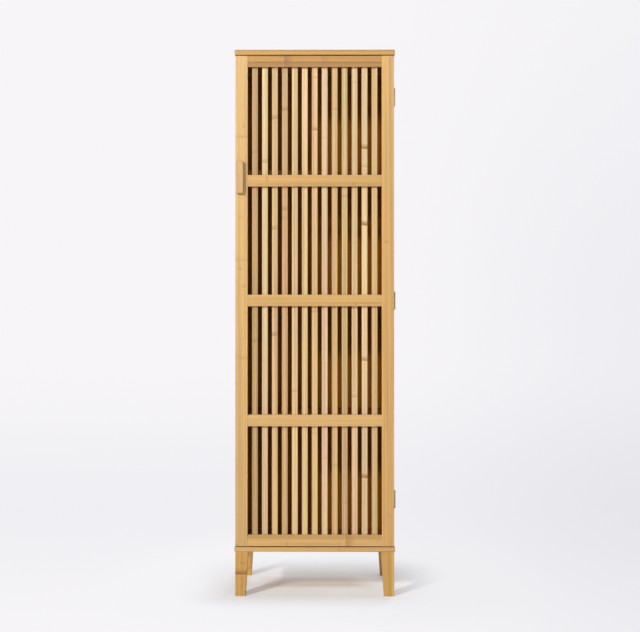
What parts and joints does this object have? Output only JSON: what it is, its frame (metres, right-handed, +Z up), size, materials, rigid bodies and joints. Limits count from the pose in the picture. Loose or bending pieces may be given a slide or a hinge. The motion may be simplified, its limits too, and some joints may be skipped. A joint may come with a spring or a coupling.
{
  "type": "louvred door cabinet",
  "caption": "Tall narrow cabinet on tapered legs, with a hinged full-height slatted door, a bar handle and shelves inside.",
  "frame": {"origin": "on the floor, at the middle of the cabinet's width and of its depth with the handle", "axes": "+Z up; the door faces -Y; +X to the right, where the hinges are"},
  "size_m": [0.4725, 0.342, 1.6],
  "materials": {
    "case_bamboo": "clear satin lacquer on laminated bamboo",
    "back_bamboo": "clear satin lacquer on thin bamboo ply",
    "door_bamboo": "clear satin lacquer on laminated bamboo",
    "slat_bamboo": "clear satin lacquer on bamboo strip",
    "leg_bamboo": "clear satin lacquer on laminated bamboo",
    "handle_bamboo": "clear satin lacquer on laminated bamboo",
    "dowel_wood": "plain beech",
    "hinge_steel": "satin plated steel",
    "pin_steel": "plated steel",
    "screw_steel": "plated steel",
    "insert_zinc": "plated steel",
    "plate_steel": "plated steel",
    "catch_plastic": "moulded plastic",
    "magnet": "ground ferrite"
  },
  "bodies": {
    "case": {"back_panel": "back_bamboo", "back_screws": "screw_steel", "bottom_panel": "case_bamboo", "case_dowels": "dowel_wood", "case_screws": "screw_steel", "catch_housing": "catch_plastic", "catch_magnet": "magnet", "catch_screws": "screw_steel", "hinge_case_leaf_lower": "hinge_steel", "hinge_case_leaf_middle": "hinge_steel", "hinge_case_leaf_upper": "hinge_steel", "hinge_case_screws": "screw_steel", "hinge_pins": "hinge_steel", "leg_back_left": "leg_bamboo", "leg_back_right": "leg_bamboo", "leg_front_left": "leg_bamboo", "leg_front_right": "leg_bamboo", "leg_inserts": "insert_zinc", "leg_studs": "screw_steel", "shelf_lower": "case_bamboo", "shelf_middle": "case_bamboo", "shelf_pins": "pin_steel", "shelf_upper": "case_bamboo", "side_panel_left": "case_bamboo", "side_panel_right": "case_bamboo", "top_panel": "case_bamboo"},
    "door": {"door_rail_bottom": "door_bamboo", "door_rail_lower": "door_bamboo", "door_rail_middle": "door_bamboo", "door_rail_top": "door_bamboo", "door_rail_upper": "door_bamboo", "door_stile_left": "door_bamboo", "door_stile_right": "door_bamboo", "handle": "handle_bamboo", "handle_screws": "screw_steel", "hinge_door_leaf_lower": "hinge_steel", "hinge_door_leaf_middle": "hinge_steel", "hinge_door_leaf_upper": "hinge_steel", "hinge_door_screws": "screw_steel", "slat_01": "slat_bamboo", "slat_02": "slat_bamboo", "slat_03": "slat_bamboo", "slat_04": "slat_bamboo", "slat_05": "slat_bamboo", "slat_06": "slat_bamboo", "slat_07": "slat_bamboo", "slat_08": "slat_bamboo", "slat_09": "slat_bamboo", "slat_10": "slat_bamboo", "slat_11": "slat_bamboo", "slat_12": "slat_bamboo", "slat_13": "slat_bamboo", "strike_plate": "plate_steel", "strike_screws": "screw_steel"}
  },
  "joints": [
    {"name": "door_hinge", "type": "hinge", "parent": "case", "child": "door", "pos_m": [0.235, -0.1345, 0.8645], "axis": [0, 0, 1], "range_deg": [0, 180]}
  ]
}
